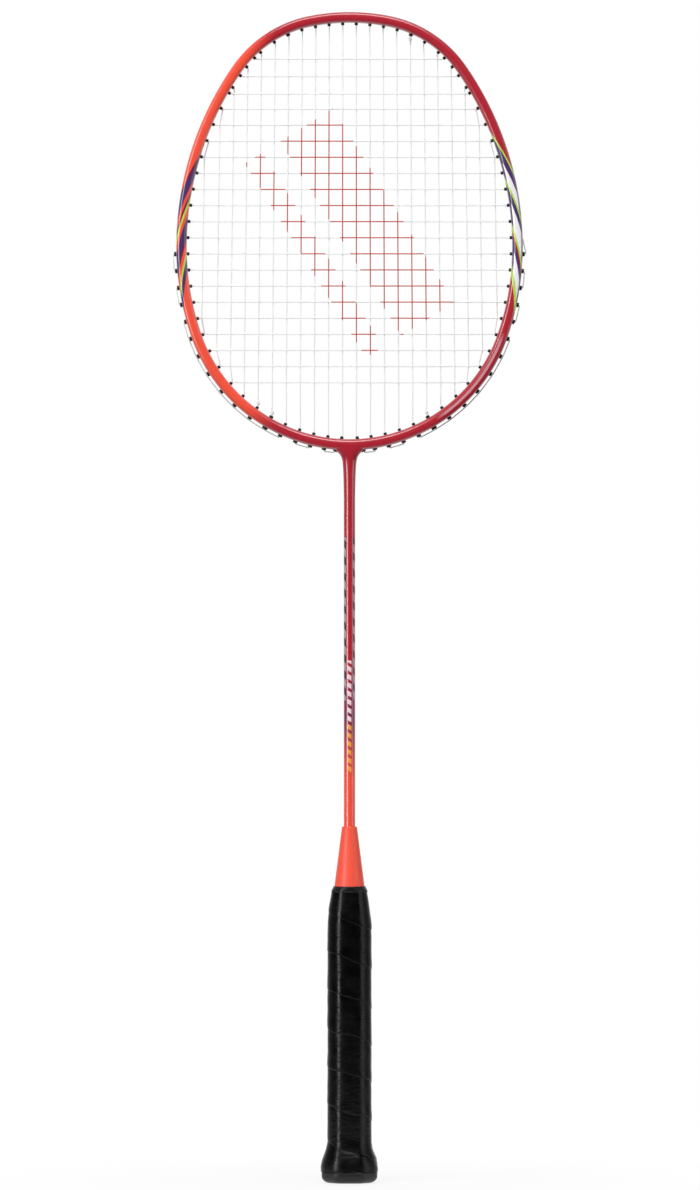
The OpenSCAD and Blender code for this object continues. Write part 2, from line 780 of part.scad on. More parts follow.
// Where the runs leave the groove, one climbs on to the first head of the lower half
function cross_run(j) = cross_z(j) > 0 && cross_z(j + 1) <= 0
    ? [edge_point(cross_hole(j + 1), lane, 90)]
    : run(cross_hole(j), cross_hole(j + 1), lane);
// The cross string starts at the right of the top cross and ends at the left of the lowest
cross_path = joined([
    flip(concat(
        run(cross_hole(1), own_hole_above(tie_above), lane),
        [mouth_point(own_hole_above(tie_above), lane), tip_point(own_hole_above(tie_above), lane)])),
    for (j = [1 : crosses]) each [
        j % 2 == 1 ? flip(cross_span(j)) : cross_span(j),
        j < crosses ? on_side(cross_run(j), j % 2 == 1 ? -1 : 1) : []],
    on_side(concat(
        run(cross_hole(crosses), own_hole_below(tie_cross), lane),
        [mouth_point(own_hole_below(tie_cross), lane), tip_point(own_hole_below(tie_cross), lane)]), -1)]);

// Square ring of a string at a point of its path, mitred between the stretches before and after
function flat_unit(v) = [v.x, v.y] / norm([v.x, v.y]);
function string_ring(path, k) =
    let (
        before = flat_unit(path[max(k, 1)] - path[max(k, 1) - 1]),
        after = flat_unit(path[min(k + 1, len(path) - 1)] - path[min(k + 1, len(path) - 1) - 1]),
        mean = flat_unit(before + after),
        half = string_w / 2,
        wide = half / (mean * after),
        across = wide * [-mean.y, mean.x, 0],
        deep = [0, 0, half]
    )
    [path[k] + across + deep, path[k] - across + deep, path[k] - across - deep, path[k] + across - deep];
module string_along(path) {
    color("white")
        head_frame()
            tube_of([for (k = [0 : len(path) - 1]) string_ring(path, k)]);
}

module main_string() {
    string_along(main_path);
}

module cross_string() {
    string_along(cross_path);
}

// Knot next to a barrel's tip, round the main that the tail is tied to: its middle lies between main and tail
knot_gap = 0.36;
module knot(tip, next) {
    along = (next - tip) / norm(next - tip);
    middle = tip + (knot_r + knot_gap) * along;
    tilt = acos(along.z);
    turn = atan2(along.y, along.x);
    color("whitesmoke")
        head_frame()
            translate(middle)
                difference() {
                    translate([0, 0, lane]) sphere(knot_r);
                    rotate([0, tilt, turn])
                        cylinder(h = 4 * knot_r, d = string_w + 4 * fit, center = true);
                }
}

module knot_below(i, side) {
    span = on_side(flip(main_span(i, side)), side);
    knot(span[1], span[2]);
}

module knot_above(i, side) {
    span = on_side(main_span(i, side), side);
    knot(span[1], span[2]);
}

module string_knots() {
    knot_below(tie_below, 1);
    knot_below(tie_below, -1);
    knot_above(tie_above, 1);
    knot_below(tie_cross, -1);
}

frame_hoop();
t_joint();
shaft();
cone();
handle_core();
butt_cap();
grip_wrap();
finishing_tape();
upper_main_grommets();
lower_main_grommets();
left_cross_grommets();
right_cross_grommets();
left_shared_grommets();
right_shared_grommets();
tie_off_grommets();
main_string();
cross_string();
string_knots();
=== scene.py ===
from collections import namedtuple
from functools import partial
from math import acos, asin, atan2, copysign, cos, hypot, pi, radians, sin, sqrt, tan

import bmesh
import bpy
from bpy.props import FloatProperty, FloatVectorProperty, PointerProperty
from mathutils import Matrix, Vector


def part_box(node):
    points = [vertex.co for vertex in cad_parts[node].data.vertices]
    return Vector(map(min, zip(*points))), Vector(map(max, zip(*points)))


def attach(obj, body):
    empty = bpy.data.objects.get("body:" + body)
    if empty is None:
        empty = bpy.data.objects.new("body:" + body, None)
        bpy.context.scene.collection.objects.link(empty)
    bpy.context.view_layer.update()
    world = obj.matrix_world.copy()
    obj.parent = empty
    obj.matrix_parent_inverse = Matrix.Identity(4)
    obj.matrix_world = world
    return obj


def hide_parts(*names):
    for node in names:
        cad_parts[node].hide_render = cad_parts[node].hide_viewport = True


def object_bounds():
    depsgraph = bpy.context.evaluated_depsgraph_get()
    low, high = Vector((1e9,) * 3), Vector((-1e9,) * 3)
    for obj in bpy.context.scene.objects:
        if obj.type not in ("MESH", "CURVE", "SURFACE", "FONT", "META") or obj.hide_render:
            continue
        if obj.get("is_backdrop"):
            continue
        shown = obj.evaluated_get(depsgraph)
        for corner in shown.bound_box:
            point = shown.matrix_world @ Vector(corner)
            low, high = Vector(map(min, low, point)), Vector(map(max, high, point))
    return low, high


bl_info = {
    "name": "Badminton racket",
    "version": (1, 0, 0),
    "blender": (4, 5, 0),
    "location": "3D View > Sidebar > Racket",
    "description": "Dresses the packed solids of a strung badminton racket",
    "category": "Object",
}

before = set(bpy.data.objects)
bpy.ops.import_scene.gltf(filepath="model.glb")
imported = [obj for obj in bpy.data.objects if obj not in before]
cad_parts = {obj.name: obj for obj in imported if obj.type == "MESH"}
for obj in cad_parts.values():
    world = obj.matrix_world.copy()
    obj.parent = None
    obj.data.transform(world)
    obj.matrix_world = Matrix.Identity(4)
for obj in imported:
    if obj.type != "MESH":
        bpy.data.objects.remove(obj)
CAD_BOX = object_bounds()
HOOP_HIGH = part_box("frame_hoop")[1]
GRIP_LOW, GRIP_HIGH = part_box("grip_wrap")
BAND_LOW, BAND_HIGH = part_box("finishing_tape")

MM = 0.001
# Mains in each half, crosses in all, and crosses above the long group
MAINS, CROSSES, UPPER_CROSSES = 11, 21, 3
# Mains that have holes of their own, and the crosses whose holes the other mains share
OWN_ABOVE, SHARED_ABOVE = 9, (4, 6)
OWN_BELOW, SHARED_BELOW = 8, (21, 20, 18)
# Mains in whose holes the ends of the strings are tied off
TIE_ABOVE, TIE_BELOW, TIE_CROSS = 5, 6, 7


def linear(code):
    """Linear colour, with alpha, of an sRGB hex value."""
    parts = [int(code[k:k + 2], 16) / 255 for k in (1, 3, 5)]
    return (*(c / 12.92 if c <= 0.04045 else ((c + 0.055) / 1.055) ** 2.4 for c in parts), 1.0)


def measure(name, description, default):
    """A length that a user may change, in metres."""
    return FloatProperty(name=name, description=description, default=default, unit="LENGTH")


def paint(name, description, code):
    """A colour that a user may change, given as an sRGB hex value."""
    return FloatVectorProperty(
        name=name, description=description, default=linear(code), size=4, subtype="COLOR")


class RacketHead(bpy.types.PropertyGroup):
    """Sizes of the head's outline and its tube."""

    half_width: measure("Half width", "From the middle to the outside of the hoop", HOOP_HIGH.x)
    rise: measure("Rise", "From the widest line to the top of the head", 0.1355)
    drop: measure("Drop", "From the widest line to the bottom of the head", 0.117)
    top_radius: measure("Top radius", "Outer radius of the top arc", 0.118)
    shoulder_radius: measure("Shoulder radius", "Outer radius of the shoulders", 0.07)
    side_radius: measure("Side radius", "Outer radius of the upper sides", 0.183)
    lower_radius: measure("Lower radius", "Outer radius of the lower sides", 0.16)
    tube_width: measure("Tube width", "Width of the tube, seen from the front", 0.0056)
    tube_depth: measure("Tube depth", "Depth of the tube, front to back", 0.0104)
    tube_squareness: FloatProperty(
        name="Squareness", description="Two is an ellipse, more is squarer", default=3.2)
    groove_depth: measure("Groove depth", "Depth of the string groove of the upper half", 0.0015)
    inner_growth: measure("Inner growth", "Growth of the tube's inner side over its solid", 0.0007)
    outer_swell: measure("Outer swell", "Growth of the tube's outer side at the throat", 0.0004)
    swell_reach: measure("Swell reach", "Distance from the middle over which the swell fades", 0.05)
    neck_radius: measure("Neck radius", "Radius of the neck where the shaft ends", 0.0033)


class RacketStrings(bpy.types.PropertyGroup):
    """Sizes of the strings and of the grommets that carry them."""

    diameter: measure("Diameter", "Diameter of the string", 0.00068)
    side_margin: measure("Side margin", "Outermost main to the outside of the hoop", 0.0155)
    outer_step: measure("Outer step", "Between the two outermost mains", 0.00873)
    fan: FloatProperty(
        name="Fan", description="Angle between neighbouring mains",
        default=radians(0.089), subtype="ANGLE")
    top_margin: measure("Top margin", "Top cross to the top of the head", 0.0271)
    upper_pitch: measure("Upper pitch", "Spacing of the upper crosses", 0.01005)
    group_step: measure("Group step", "Upper crosses to the long group", 0.0087)
    bottom_margin: measure("Bottom margin", "Lowest cross to the bottom of the head", 0.03884)
    weave: measure("Weave", "Rise and fall at each crossing", 0.00034)
    lane: measure("Lane", "Distance from the middle plane inside a grommet", 0.00034)
    tail_lane: measure("Tail lane", "Distance of the mains' tails from the middle plane", 0.0015)
    barrel_reach: measure("Barrel reach", "Reach of a barrel past the inside of the hoop", 0.002)
    grommet_head: measure("Grommet head", "Diameter of a grommet's head", 0.0027)
    groove_head: measure("Groove head", "Thickness of a head in the groove", 0.0007)
    proud_head: measure("Proud head", "Thickness of a head on the lower half", 0.0015)
    seat_depth: measure("Seat depth", "Depth of the seats on the lower half", 0.0003)
    splay: FloatProperty(
        name="Splay", description="Extra tilt of the hole next to the throat",
        default=radians(24), subtype="ANGLE")
    knot_radius: measure("Knot radius", "Radius of a knot's coils", 0.00078)


class RacketHandle(bpy.types.PropertyGroup):
    """Sizes of the wound grip, its finishing tape and the butt cap."""

    width: measure("Width", "Width of the wound grip", 0.0255)
    depth: measure("Depth", "Depth of the wound grip, front to back", 0.023)
    bevel: measure("Bevel", "Bevel between the flat sides", 0.0063)
    flare: measure("Flare", "Extra width over the butt cap", 0.0077)
    slope: measure("Slope", "Width lost at the top edge", 0.005)
    tape_pitch: measure("Tape pitch", "Spacing of the turns of tape", 0.022)
    tape_lap: measure("Tape lap", "Step where a turn lies on the one below", 0.00032)
    tape_thickness: measure("Tape thickness", "Thickness of the tape", 0.0014)
    cap_width: measure("Cap width", "Width of the butt cap", 0.0322)
    cap_height: measure("Cap height", "Height of the butt cap", 0.0064)
    cap_round_height: measure("Cap edge height", "Height of the cap's rounded edge", 0.004)
    cap_round_width: measure("Cap edge inset", "Inset of the cap's rounded edge", 0.005)


class RacketFinish(bpy.types.PropertyGroup):
    """Colours of the paint, the strings and the black pieces."""

    warm: paint("Warm paint", "Paint of the left side, the lower shaft and the cone", "#F4523B")
    crimson: paint(
        "Crimson paint", "Paint of the top, the right side and the upper shaft", "#B01F30")
    plum: paint("Plum", "Dark bars", "#4B2F66")
    lime: paint("Lime", "Bright bars", "#B4D84E")
    pale: paint("Pale", "Pale bars", "#F2EEF4")
    string: paint("String", "Undyed string", "#F0F2F2")
    ink: paint("Ink", "Ink of the bars on the string bed", "#C23A2E")
    black: paint("Black", "Grip tape", "#040304")


# Head outline and string pattern

def heading(v):
    return atan2(v.y, v.x)


def ray(length, angle):
    return Vector((length * cos(angle), length * sin(angle)))


def inner_tangent(p, p_radius, q, q_radius):
    """Centre of the circle inside two others, on the outer side of the line between them."""
    gap = (q - p).length
    unit = (q - p) / gap
    along = (p_radius ** 2 - q_radius ** 2 + gap ** 2) / (2 * gap)
    off = sqrt(p_radius ** 2 - along ** 2)
    return p + along * unit + off * Vector((unit.y, -unit.x))


class HeadOutline:
    """Right half of the head's outer line, from the top down: arcs that meet in tangents."""

    def __init__(self, head):
        low_radius = head.lower_radius
        top = Vector((0, head.rise - head.top_radius))
        side = Vector((head.half_width - head.side_radius, 0))
        lower = Vector((head.half_width - low_radius, 0))
        bottom_radius = ((2 * head.half_width * low_radius - head.half_width ** 2 - head.drop ** 2)
                         / (2 * (low_radius - head.drop)))
        bottom = Vector((0, bottom_radius - head.drop))
        shoulder = inner_tangent(top, head.top_radius - head.shoulder_radius,
                                 side, head.side_radius - head.shoulder_radius)
        # Each arc: centre, radius, direction in which it ends
        self.arcs = (
            (top, head.top_radius, heading(shoulder - top)),
            (shoulder, head.shoulder_radius, heading(shoulder - side)),
            (side, head.side_radius, 0.0),
            (lower, low_radius, heading(bottom - lower)),
            (bottom, bottom_radius, -pi / 2))
        self.wide_z = HOOP_HIGH.z - head.rise

    def arc(self, phi):
        return next((arc for arc in self.arcs if phi >= arc[2]), self.arcs[-1])

    def point(self, phi, depth):
        centre, radius, _ = self.arc(phi)
        return centre + ray(radius - depth, phi)

    def end(self, arc, depth):
        return arc[0] + ray(arc[1] - depth, arc[2])

    def phi_at_height(self, height, depth):
        centre, radius, _ = next(arc for arc in self.arcs if height >= self.end(arc, depth).y)
        return asin((height - centre.y) / (radius - depth))

    def phi_above(self, x, depth):
        centre, radius, _ = next(arc for arc in self.arcs if x <= self.end(arc, depth).x)
        return acos((x - centre.x) / (radius - depth))

    def phi_below(self, x, depth):
        lower, bottom = self.arcs[3:]
        centre, radius, _ = bottom if x < self.end(lower, depth).x else lower
        return -acos((x - centre.x) / (radius - depth))

    def world(self, p):
        """A point of the head's plane, given as right, height and front."""
        return Vector((p.x, -p.z, self.wide_z + p.y))


Hole = namedtuple("Hole", "tip angle reach head phi")


class StringPlan:
    """Holes of the right half and routes of both strings, from the middle of the widest line."""

    entry_gap = 0.00035
    run_gap = 0.00015
    crossing_room = 0.0007
    lane_room = 0.0034
    splay_fade = 0.4
    knot_offset = 0.00156

    def __init__(self, outline, head, strings):
        self.outline, self.sizes, self.groove = outline, strings, head.groove_depth
        self.tip_depth = head.tube_width + strings.barrel_reach
        self.edge_main = head.half_width - strings.side_margin
        self.main_pitch = (self.edge_main - strings.outer_step) / (MAINS - 1.5)
        self.top_cross = head.rise - strings.top_margin
        self.long_cross = (self.top_cross - (UPPER_CROSSES - 1) * strings.upper_pitch
                           - strings.group_step)
        self.cross_pitch = ((self.long_cross + head.drop - strings.bottom_margin)
                            / (CROSSES - UPPER_CROSSES - 1))
        self.crosses = {j: self.hole(outline.phi_at_height(self.cross_z(j), self.tip_depth))
                        for j in range(1, CROSSES + 1)}
        self.above = {i: self.hole(self.reach(i, outline.phi_above, self.top_cross))
                      for i in range(1, OWN_ABOVE + 1)}
        self.below = {i: self.hole(self.reach(i, outline.phi_below, -self.top_cross),
                                   strings.splay * self.splay_fade ** (i - 1))
                      for i in range(1, OWN_BELOW + 1)}
        holes = [*self.crosses.values(), *self.above.values(), *self.below.values()]
        self.holes = sorted(holes, key=lambda hole: -hole.phi)
        # The outermost mains share the holes of crosses
        self.above.update((i, self.crosses[j]) for i, j in enumerate(SHARED_ABOVE, OWN_ABOVE + 1))
        self.below.update((i, self.crosses[j]) for i, j in enumerate(SHARED_BELOW, OWN_BELOW + 1))

    def main_x(self, i, height):
        place = i - 0.5 if i < MAINS else self.edge_main / self.main_pitch
        return place * (self.main_pitch - height * tan(self.sizes.fan))

    def cross_z(self, j):
        if j <= UPPER_CROSSES:
            return self.top_cross - (j - 1) * self.sizes.upper_pitch
        return self.long_cross - (j - UPPER_CROSSES - 1) * self.cross_pitch

    def reach(self, i, facing, height):
        """Direction of the hoop where a main meets the barrels' tips, found from a first guess."""
        for _ in range(6):
            phi = facing(self.main_x(i, height), self.tip_depth)
            height = self.outline.point(phi, self.tip_depth).y
        return phi

    def hole(self, phi, splay=0.0):
        centre, radius, _ = self.outline.arc(phi)
        tip = self.outline.point(phi, self.tip_depth)
        lift = self.sizes.grommet_head / 4 * sin(splay)
        seat = radius - (self.groove if phi > 0 else self.sizes.seat_depth - lift)
        start = tip - centre
        dot = start.dot(ray(1, phi + splay))
        reach = sqrt(dot * dot - start.length_squared + seat * seat) - dot
        head = self.sizes.groove_head if phi > 0 else self.sizes.proud_head
        return Hole(tip, phi + splay, reach, head, phi)

    def tip(self, hole, front):
        return Vector((*(hole.tip - ray(self.entry_gap, hole.angle)), front))

    def mouth(self, hole, front):
        out = hole.reach + hole.head + self.sizes.diameter / 2 + self.run_gap
        return Vector((*(hole.tip + ray(out, hole.angle)), front))

    def edge(self, hole, front, turn):
        """Point over the edge of a head, on the side that a run comes from."""
        aside = ray(self.sizes.grommet_head / 2 + self.run_gap, hole.angle + turn)
        return self.mouth(hole, front) + aside.to_3d()

    def run(self, start, end, front):
        """Points outside the hoop between two holes, over the heads between them."""
        low, high = sorted((start.phi, end.phi))
        passed = [self.mouth(hole, front) for hole in self.holes if low < hole.phi < high]
        return passed if start.phi > end.phi else passed[::-1]

    def meets(self, i, j, room):
        height = self.cross_z(j)
        return (self.main_x(i, height) < self.crosses[j].tip.x - room
                and self.below[i].tip.y + room < height < self.above[i].tip.y - room)

    def over_under(self, i, j, side):
        turn = (i if side > 0 else 1 - i) + j
        return 1 if self.meets(i, j, self.lane_room) and turn % 2 == 0 else -1

    def crossing(self, i, j, front):
        height = self.cross_z(j)
        return Vector((self.main_x(i, height), height, front))

    def main_span(self, i, side):
        """One main from its upper mouth to its lower mouth."""
        lane, weave = self.sizes.lane, self.sizes.weave
        above, below = self.above[i], self.below[i]
        return [self.mouth(above, -lane), self.tip(above, -lane),
                *(self.crossing(i, j, weave * self.over_under(i, j, side))
                  for j in range(1, CROSSES + 1) if self.meets(i, j, self.crossing_room)),
                self.tip(below, -lane), self.mouth(below, -lane)]

    def main_run(self, i):
        lane = self.sizes.lane
        if i == 1:
            return [self.edge(self.below[2], -lane, -pi / 2)]
        end = self.below if i % 2 else self.above
        return self.run(end[i], end[i + 1], -lane)

    def half_main(self, side):
        """Half of the main string, from the middle of the top outwards to the tie-off hole."""
        tie = self.below[TIE_BELOW]
        points = []
        for i in range(1, MAINS + 1):
            span = self.main_span(i, side)
            points += span if i % 2 else span[::-1]
            points += self.main_run(i) if i < MAINS else []
        points += self.run(self.below[MAINS], tie, -self.sizes.tail_lane)
        points += [self.mouth(tie, self.sizes.lane), self.tip(tie, self.sizes.lane)]
        return mirrored(points, side)

    def main_route(self):
        return self.half_main(-1)[::-1] + self.half_main(1)

    def half_cross(self, j, side):
        weave, lane = self.sizes.weave, self.sizes.lane
        points = [self.crossing(i, j, -weave * self.over_under(i, j, side))
                  for i in range(1, MAINS + 1) if self.meets(i, j, self.crossing_room)]
        points += [self.tip(self.crosses[j], lane), self.mouth(self.crosses[j], lane)]
        return mirrored(points, side)

    def cross_run(self, j):
        lane = self.sizes.lane
        if self.cross_z(j) > 0 >= self.cross_z(j + 1):
            return [self.edge(self.crosses[j + 1], lane, pi / 2)]
        return self.run(self.crosses[j], self.crosses[j + 1], lane)

    def cross_route(self):
        """The cross string, from the right of the top cross to the left of the lowest."""
        lane = self.sizes.lane
        first, last = self.above[TIE_ABOVE], self.below[TIE_CROSS]
        points = [self.tip(first, lane), self.mouth(first, lane),
                  *self.run(first, self.crosses[1], lane)]
        for j in range(1, CROSSES + 1):
            span = self.half_cross(j, -1)[::-1] + self.half_cross(j, 1)
            points += span[::-1] if j % 2 else span
            if j < CROSSES:
                points += mirrored(self.cross_run(j), -1 if j % 2 else 1)
        points += mirrored([*self.run(self.crosses[CROSSES], last, lane),
                            self.mouth(last, lane), self.tip(last, lane)], -1)
        return points

    def knots(self):
        """Middle and direction of each knot, next to a barrel's tip and beside the main."""
        places = []
        for i, side, upper in ((TIE_BELOW, 1, False), (TIE_BELOW, -1, False),
                               (TIE_ABOVE, 1, True), (TIE_CROSS, -1, False)):
            span = mirrored(self.main_span(i, side), side)
            tip, onward = span[1:3] if upper else span[-2:-4:-1]
            along = (onward - tip).normalized()
            places.append((tip + self.knot_offset * along + Vector((0, 0, self.sizes.lane)), along))
        return places


def mirrored(points, side):
    return [Vector((side * p.x, p.y, p.z)) for p in points]


def eased(points, bend):
    """A route with rounded corners that rises and falls in waves between its points."""
    straight, most, level = radians(150), 0.45, 0.0001
    route = [points[0]]
    for before, p, after in zip(points, points[1:], points[2:]):
        back, onward = before - p, after - p
        if back.angle(onward) > straight:
            route.append(p)
            continue
        start = p + back.normalized() * min(bend, most * back.length)
        end = p + onward.normalized() * min(bend, most * onward.length)
        route += [start, (start + 2 * p + end) / 4, end]
    route.append(points[-1])
    waved = route[:1]
    for p, q in zip(route, route[1:]):
        if abs(p.z - q.z) > level:
            for share in (0.25, 0.5, 0.75):
                step = p.lerp(q, share)
                step.z = p.z + (q.z - p.z) * share * share * (3 - 2 * share)
                waved.append(step)
        waved.append(q)
    return waved


# Making pieces

def power(value, exponent):
    return copysign(abs(value) ** exponent, value)


def rounded_box(angle, half_width, half_depth, squareness):
    """Point of a rounded box's outline: two is an ellipse, more is squarer."""
    return (half_width * power(cos(angle), 2 / squareness),
            half_depth * power(sin(angle), 2 / squareness))


def new_piece(bm, name, node, material, sharp_angle):
    """Makes a finished bmesh an object that rides on the racket and stands for a CAD node."""
    for face in bm.faces:
        face.smooth = True
    for edge in bm.edges:
        edge.smooth = edge.calc_face_angle(0.0) < sharp_angle
    mesh = bpy.data.meshes.new(name)
    bm.to_mesh(mesh)
    bm.free()
    mesh.materials.append(material)
    dress(bpy.data.objects.new(name, mesh), node)


def dress(piece, node):
    """Adds a piece to the racket in the place of a CAD node."""
    bpy.context.scene.collection.objects.link(piece)
    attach(piece, "root")
    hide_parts(node)


def finish_node(node, material):
    """Gives a CAD node that stays in view its material."""
    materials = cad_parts[node].data.materials
    materials.clear()
    materials.append(material)


def loft(bm, segments, rings, place):
    """Lofts rings, whose points place gives by angle, closes both ends and returns the first."""
    ring = bmesh.ops.create_circle(bm, segments=segments, radius=1)["verts"]
    angles = [atan2(vert.co.y, vert.co.x) for vert in ring]
    loop = list(dict.fromkeys(edge for vert in ring for edge in vert.link_edges))
    first_end = bmesh.ops.edgeloop_fill(bm, edges=loop)["faces"]
    for index, sizes in enumerate(rings):
        if index:
            grown = bmesh.ops.extrude_edge_only(bm, edges=loop)["geom"]
            ring = [item for item in grown if isinstance(item, bmesh.types.BMVert)]
            loop = [item for item in grown if isinstance(item, bmesh.types.BMEdge)]
        for vert, angle in zip(ring, angles):
            vert.co = place(angle, *sizes)
    bmesh.ops.edgeloop_fill(bm, edges=loop)
    return first_end


# Making materials

def feed(node, inputs):
    """Sets or links a node's inputs, given by name or in the order of its open sockets."""
    if not isinstance(inputs, dict):
        opened = (index for index, socket in enumerate(node.inputs) if socket.enabled)
        inputs = dict(zip(opened, inputs))
    for name, value in inputs.items():
        if isinstance(value, bpy.types.NodeSocket):
            node.id_data.links.new(value, node.inputs[name])
        else:
            node.inputs[name].default_value = value


def add_node(tree, kind, inputs, **settings):
    """Adds a node with its settings and links, and returns its first open output."""
    made = tree.nodes.new("ShaderNode" + kind)
    for name, value in settings.items():
        setattr(made, name, value)
    feed(made, inputs)
    return next(socket for socket in made.outputs if socket.enabled)


def surface(name, values):
    """A new material, its shader with the given values, and what adds nodes to its tree."""
    material = bpy.data.materials.new(name)
    material.use_nodes = True
    shader = material.node_tree.nodes["Principled BSDF"]
    feed(shader, values)
    return material, shader, partial(add_node, material.node_tree)


def object_place(add):
    """Object coordinates, whole and split into right, back and up."""
    place = add("TexCoord", {}).node.outputs["Object"]
    return (place, *add("SeparateXYZ", {"Vector": place}).node.outputs)


def bars(add, place, start, stops):
    """Bars of colour along a length: each stop, in metres, starts a colour or a pause."""
    end = stops[-1][0]
    share = add("MapRange", {"Value": place, "From Min": start, "From Max": end})
    made = add("ValToRGB", {"Fac": share}).node
    ramp, clear = made.color_ramp, (0, 0, 0, 0)
    ramp.interpolation = "CONSTANT"
    for at, colour in stops:
        ramp.elements.new((at - start) / (end - start)).color = colour or clear
    ramp.elements[0].color = ramp.elements[-1].color = clear
    return made.outputs["Color"], made.outputs["Alpha"]


def sprayed(add, shader, place, colour):
    """Sprayed paint: cloudy by a few percent, and faintly wavy under its clear coat."""
    clouds = add("TexNoise", {"Vector": place, "Scale": 1 / (6 * MM), "Detail": 3.0})
    value = add("MapRange", {"Value": clouds, "To Min": 0.94, "To Max": 1.06})
    cloudy = add("HueSaturation", {"Value": value, "Color": colour})
    peel = add("TexNoise", {"Vector": place, "Scale": 1 / (1.8 * MM), "Detail": 1.0})
    bump = add("Bump", {"Height": peel, "Strength": 0.05, "Distance": 0.1 * MM})
    feed(shader, {"Base Color": cloudy, "Normal": bump, "Coat Normal": bump})


LACQUER = {"Roughness": 0.32, "IOR": 1.5,
           "Coat Weight": 1.0, "Coat Roughness": 0.2, "Coat IOR": 1.5}


def frame_lacquer(finish):
    # Polyurethane lacquer sprayed on a carbon tube: two colours that fade into each other, bars
    # printed on the sides, and a clear coat that draws a bright line along each rounded edge
    material, shader, add = surface("sprayed_polyurethane_lacquer", LACQUER)
    place, x, y, z = object_place(add)
    plum, lime, pale = tuple(finish.plum), tuple(finish.lime), tuple(finish.pale)
    wine = linear("#7A1430")
    fade = add("MapRange", {"Value": x, "From Min": -63 * MM, "From Max": -41 * MM},
               interpolation_type="SMOOTHSTEP")
    colour = add("Mix", (fade, tuple(finish.warm), tuple(finish.crimson)), data_type="RGBA")
    # Slanting bars on both sides
    across = add("Attribute", {}, attribute_name="across").node.outputs["Fac"]
    slant = 4.5
    lean = add("Math", (across, slant, z), operation="MULTIPLY_ADD")
    left, left_share = bars(add, lean, 0.505, (
        (0.514, plum), (0.521, lime), (0.525, None), (0.531, wine), (0.534, plum), (0.546, None),
        (0.552, lime), (0.556, wine), (0.560, None), (0.566, plum), (0.579, wine), (0.582, None),
        (0.6, None)))
    right, right_share = bars(add, lean, 0.505, (
        (0.511, lime), (0.517, pale), (0.528, plum), (0.534, None), (0.537, lime), (0.541, pale),
        (0.556, plum), (0.564, lime), (0.568, pale), (0.579, plum), (0.590, lime), (0.594, None),
        (0.6, None)))
    # The pale bars turn plum at the tube's edges, where they would melt into a pale background
    off_middle = add("Math", (across,), operation="ABSOLUTE")
    at_edge = add("Math", (off_middle, 1.9 * MM), operation="GREATER_THAN")
    blue = add("SeparateColor", {"Color": right}).node.outputs["Blue"]
    is_pale = add("Math", (blue, 0.5), operation="GREATER_THAN")
    dark_end = add("Math", (at_edge, is_pale), operation="MULTIPLY")
    right = add("Mix", (dark_end, right, plum), data_type="RGBA")
    for operation, bar, bar_share in (("LESS_THAN", left, left_share),
                                      ("GREATER_THAN", right, right_share)):
        side = add("Math", (x, 0.0), operation=operation)
        share = add("Math", (side, bar_share), operation="MULTIPLY")
        colour = add("Mix", (share, colour, bar), data_type="RGBA")
    # Thin pale line on the front of the lower right side
    share = 0.32
    for part in (add("Math", (across, -0.3 * MM, 0.6 * MM), operation="COMPARE"),
                 add("Math", (y, 0.0), operation="LESS_THAN"),
                 add("MapRange", {"Value": z, "From Min": 490 * MM, "From Max": 484 * MM}),
                 add("MapRange", {"Value": x, "From Min": 50 * MM, "From Max": 56 * MM})):
        share = add("Math", (share, part), operation="MULTIPLY")
    colour = add("Mix", (share, colour, pale), data_type="RGBA")
    sprayed(add, shader, place, colour)
    return material


def shaft_lacquer(finish):
    # The same lacquer on the shaft: crimson above, plum in passing, warm below, with printed dashes
    material, shader, add = surface("sprayed_shaft_lacquer", LACQUER)
    place, x, y, z = object_place(add)
    share = add("MapRange", {"Value": z, "From Min": 232 * MM, "From Max": 302 * MM})
    colour = add("ValToRGB", {"Fac": share})
    stops = colour.node.color_ramp.elements
    stops[0].color, stops[1].color = finish.warm, finish.crimson
    stops.new(0.5).color = linear("#7C2A50")
    off_middle = add("Math", (x,), operation="ABSOLUTE")
    # Pale and dark dashes down both sides
    lean = add("Math", (x, 1.4, z), operation="MULTIPLY_ADD")
    pitch = add("Math", (lean, 9.4 * MM), operation="DIVIDE")
    phase = add("Math", (pitch,), operation="FRACT")
    dark = add("Math", (phase, 0.52), operation="GREATER_THAN")
    dashes = add("Mix", (dark, linear("#B39AA0"), linear("#42243F")), data_type="RGBA")
    sides = add("Math", (off_middle, 2 * MM), operation="GREATER_THAN")
    zone = add("Math", (z, 325 * MM, 47 * MM), operation="COMPARE")
    share = add("Math", (sides, zone), operation="MULTIPLY")
    colour = add("Mix", (share, colour, dashes), data_type="RGBA")
    # A column of short slanted dashes on the front, pale above and yellow below
    lean = add("Math", (x, 0.6, z), operation="MULTIPLY_ADD")
    pitch = add("Math", (lean, 4.8 * MM), operation="DIVIDE")
    phase = add("Math", (pitch,), operation="FRACT")
    share = add("Math", (phase, 0.42), operation="GREATER_THAN")
    for part in (add("Math", (off_middle, 1.1 * MM), operation="LESS_THAN"),
                 add("Math", (y, 0.0), operation="LESS_THAN"),
                 add("Math", (z, 268.5 * MM, 32.5 * MM), operation="COMPARE")):
        share = add("Math", (share, part), operation="MULTIPLY")
    above = add("Math", (z, 266 * MM), operation="GREATER_THAN")
    ink = add("Mix", (above, linear("#F2A63C"), linear("#F0D6DC")), data_type="RGBA")
    colour = add("Mix", (share, colour, ink), data_type="RGBA")
    sprayed(add, shader, place, colour)
    return material


def cone_abs(finish):
    # Injection moulded ABS, sprayed to match the shaft: even, satin under the coat
    material, shader, add = surface(
        "sprayed_abs", {**LACQUER, "Roughness": 0.5, "Coat Weight": 0.1, "Coat Roughness": 0.25})
    place, *_ = object_place(add)
    sprayed(add, shader, place, tuple(finish.warm))
    return material


